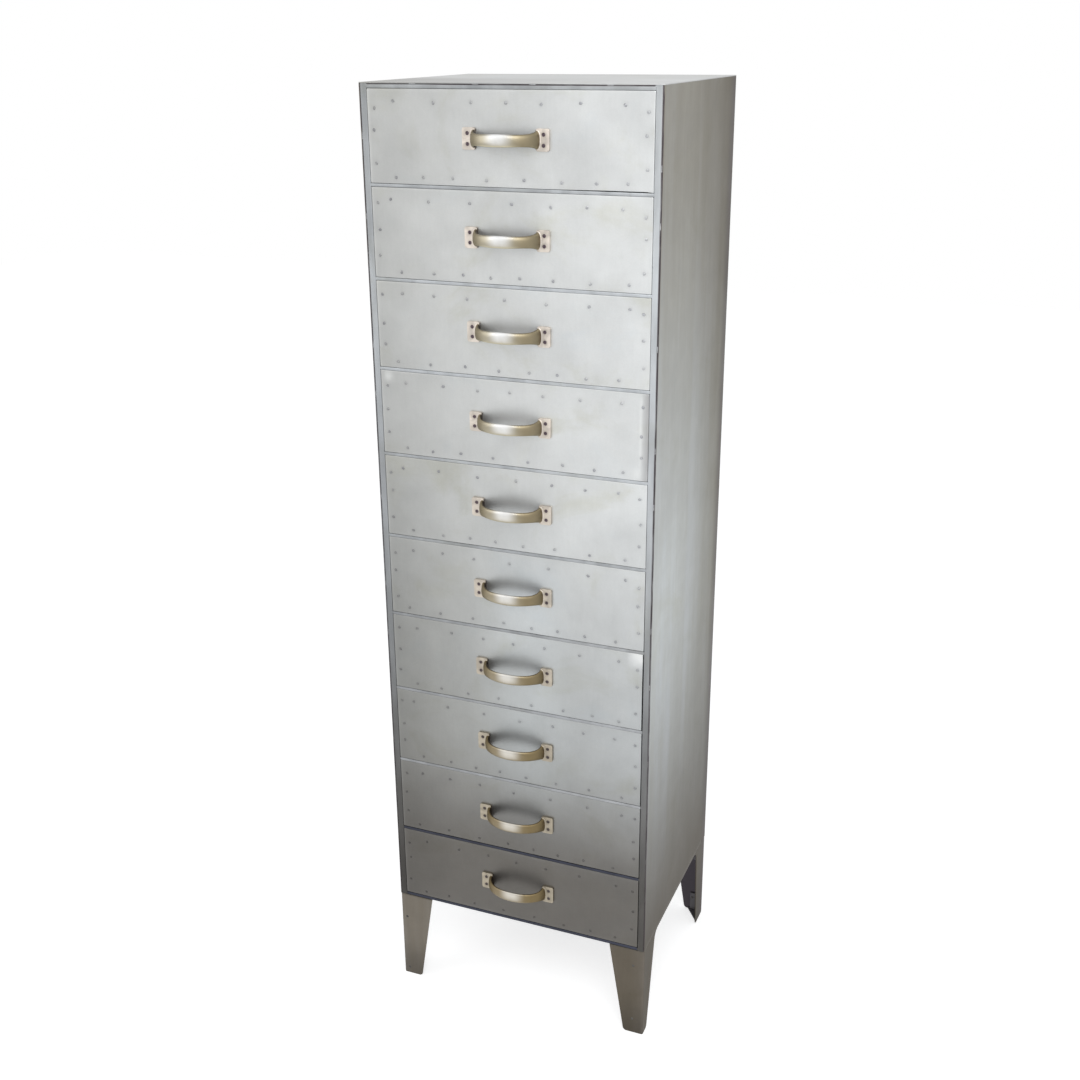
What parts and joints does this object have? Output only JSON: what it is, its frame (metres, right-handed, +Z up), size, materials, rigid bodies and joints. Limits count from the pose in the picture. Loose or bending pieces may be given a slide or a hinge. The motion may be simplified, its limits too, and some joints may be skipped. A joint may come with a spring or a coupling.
{
  "type": "metal drawer cabinet",
  "caption": "Tall narrow sheet-steel cabinet on tapered folded legs, with a stack of shallow riveted drawers and cast brass bow handles.",
  "frame": {"origin": "on the floor, under the middle of the whole cabinet with its handles", "axes": "+Z up, +Y towards the back sheet, so the drawers open towards -Y, +X to the right as seen from the front"},
  "size_m": [0.406, 0.3636, 1.375],
  "materials": {
    "outer_sheet": "bare rolled sheet, waxed, with a faint vertical grain",
    "front_steel": "bare rolled sheet, waxed and rubbed bright, mottled",
    "frame_steel": "bare mild steel bar, lightly oiled",
    "inner_steel": "bare folded sheet, dull",
    "weld_steel": "small ground weld beads",
    "fastener_steel": "darkened rivets and slotted screws",
    "aged_brass": "cast, aged and polished by hands on the bow"
  },
  "bodies": {
    "cabinet": {"side_panel_left": "outer_sheet", "side_panel_right": "outer_sheet", "back_panel": "outer_sheet", "top_panel": "outer_sheet", "bottom_panel": "inner_steel", "front_post_left": "frame_steel", "front_post_right": "frame_steel", "rear_post_left": "frame_steel", "rear_post_right": "frame_steel", "top_rails": "frame_steel", "bottom_rails": "frame_steel", "divider_rails": "frame_steel", "runners_left": "inner_steel", "runners_right": "inner_steel", "foot_plates": "inner_steel", "leg_gussets": "inner_steel", "leg_rivets": "fastener_steel", "tack_welds": "weld_steel"},
    "drawer_01": {"drawer_box_01": "inner_steel", "drawer_front_01": "front_steel", "handle_01": "aged_brass", "drawer_fasteners_01": "fastener_steel"},
    "drawer_02": {"drawer_box_02": "inner_steel", "drawer_front_02": "front_steel", "handle_02": "aged_brass", "drawer_fasteners_02": "fastener_steel"},
    "drawer_03": {"drawer_box_03": "inner_steel", "drawer_front_03": "front_steel", "handle_03": "aged_brass", "drawer_fasteners_03": "fastener_steel"},
    "drawer_04": {"drawer_box_04": "inner_steel", "drawer_front_04": "front_steel", "handle_04": "aged_brass", "drawer_fasteners_04": "fastener_steel"},
    "drawer_05": {"drawer_box_05": "inner_steel", "drawer_front_05": "front_steel", "handle_05": "aged_brass", "drawer_fasteners_05": "fastener_steel"},
    "drawer_06": {"drawer_box_06": "inner_steel", "drawer_front_06": "front_steel", "handle_06": "aged_brass", "drawer_fasteners_06": "fastener_steel"},
    "drawer_07": {"drawer_box_07": "inner_steel", "drawer_front_07": "front_steel", "handle_07": "aged_brass", "drawer_fasteners_07": "fastener_steel"},
    "drawer_08": {"drawer_box_08": "inner_steel", "drawer_front_08": "front_steel", "handle_08": "aged_brass", "drawer_fasteners_08": "fastener_steel"},
    "drawer_09": {"drawer_box_09": "inner_steel", "drawer_front_09": "front_steel", "handle_09": "aged_brass", "drawer_fasteners_09": "fastener_steel"},
    "drawer_10": {"drawer_box_10": "inner_steel", "drawer_front_10": "front_steel", "handle_10": "aged_brass", "drawer_fasteners_10": "fastener_steel"}
  },
  "joints": [
    {"name": "drawer_01_slide", "type": "slide", "parent": "cabinet", "child": "drawer_01", "axis": [0, -1, 0], "range_m": [0, 0.25]},
    {"name": "drawer_02_slide", "type": "slide", "parent": "cabinet", "child": "drawer_02", "axis": [0, -1, 0], "range_m": [0, 0.25]},
    {"name": "drawer_03_slide", "type": "slide", "parent": "cabinet", "child": "drawer_03", "axis": [0, -1, 0], "range_m": [0, 0.25]},
    {"name": "drawer_04_slide", "type": "slide", "parent": "cabinet", "child": "drawer_04", "axis": [0, -1, 0], "range_m": [0, 0.25]},
    {"name": "drawer_05_slide", "type": "slide", "parent": "cabinet", "child": "drawer_05", "axis": [0, -1, 0], "range_m": [0, 0.25]},
    {"name": "drawer_06_slide", "type": "slide", "parent": "cabinet", "child": "drawer_06", "axis": [0, -1, 0], "range_m": [0, 0.25]},
    {"name": "drawer_07_slide", "type": "slide", "parent": "cabinet", "child": "drawer_07", "axis": [0, -1, 0], "range_m": [0, 0.25]},
    {"name": "drawer_08_slide", "type": "slide", "parent": "cabinet", "child": "drawer_08", "axis": [0, -1, 0], "range_m": [0, 0.25]},
    {"name": "drawer_09_slide", "type": "slide", "parent": "cabinet", "child": "drawer_09", "axis": [0, -1, 0], "range_m": [0, 0.25]},
    {"name": "drawer_10_slide", "type": "slide", "parent": "cabinet", "child": "drawer_10", "axis": [0, -1, 0], "range_m": [0, 0.25]}
  ]
}
